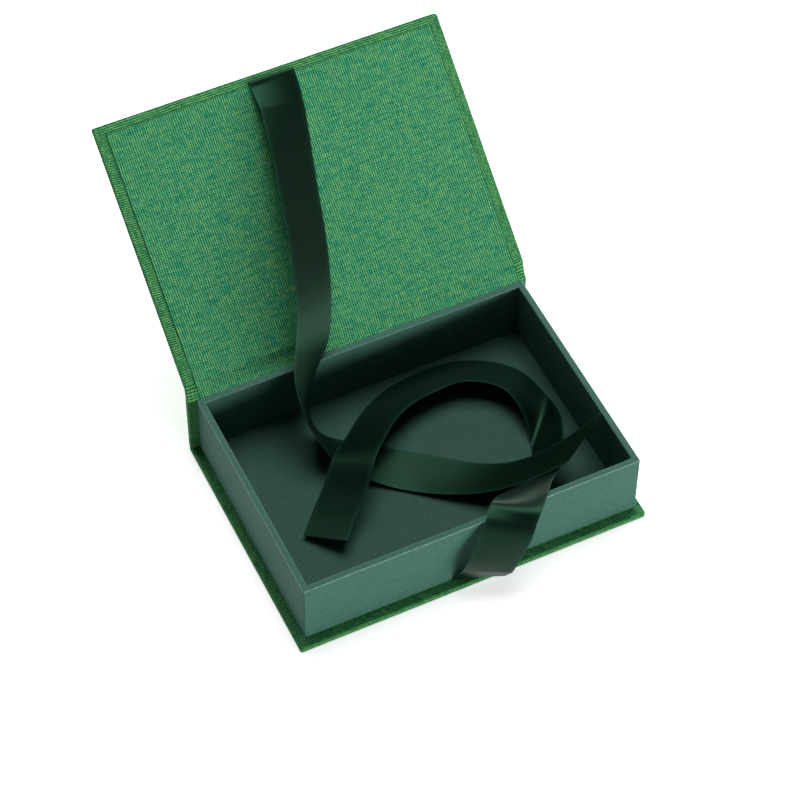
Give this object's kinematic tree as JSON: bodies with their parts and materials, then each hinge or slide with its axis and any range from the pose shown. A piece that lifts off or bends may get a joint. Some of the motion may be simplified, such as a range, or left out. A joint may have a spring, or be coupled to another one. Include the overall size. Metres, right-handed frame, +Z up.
{
  "type": "hinged presentation box",
  "caption": "Book-style box: a cloth-covered case whose lid turns on a cloth hinge, a paper-covered tray glued inside, and satin ribbons that tie it shut.",
  "frame": {"origin": "middle of the base's flat underside, at table level", "axes": "+X along the front edge to the right, +Y from the front to the spine, +Z up; the lid is open at rest"},
  "size_m": [0.171, 0.2305, 0.1193],
  "materials": {
    "grey_board": "plain grey binder's board",
    "book_cloth": "matt ribbed book cloth, heathered green",
    "lining_cloth": "matt ribbed book cloth, heathered green, ribs up the lid",
    "tray_paper": "matt uncoated paper, dark teal green",
    "gummed_paper": "plain brown gummed tape",
    "satin_ribbon": "double-faced satin, dark green, woven edges"
  },
  "bodies": {
    "base": {"base_board": "grey_board", "spine_board": "grey_board", "base_cloth": "book_cloth", "hinge_cloth": "book_cloth", "hinge_lining": "lining_cloth", "spine_lining": "lining_cloth", "tray_floor_board": "grey_board", "tray_front_board": "grey_board", "tray_back_board": "grey_board", "tray_left_board": "grey_board", "tray_right_board": "grey_board", "corner_stays": "gummed_paper", "tray_wrap_paper": "tray_paper", "tray_floor_paper": "tray_paper", "tray_ribbon": "satin_ribbon"},
    "lid": {"lid_board": "grey_board", "lid_cloth": "book_cloth", "lid_lining": "lining_cloth", "lid_ribbon": "satin_ribbon"}
  },
  "joints": [
    {"name": "lid_hinge", "type": "hinge", "parent": "base", "child": "lid", "pos_m": [0, 0.0625, 0.04], "axis": [1, 0, 0], "range_deg": [-57, 141], "deforming": ["hinge_cloth", "hinge_lining", "lid_ribbon", "tray_ribbon"]}
  ]
}
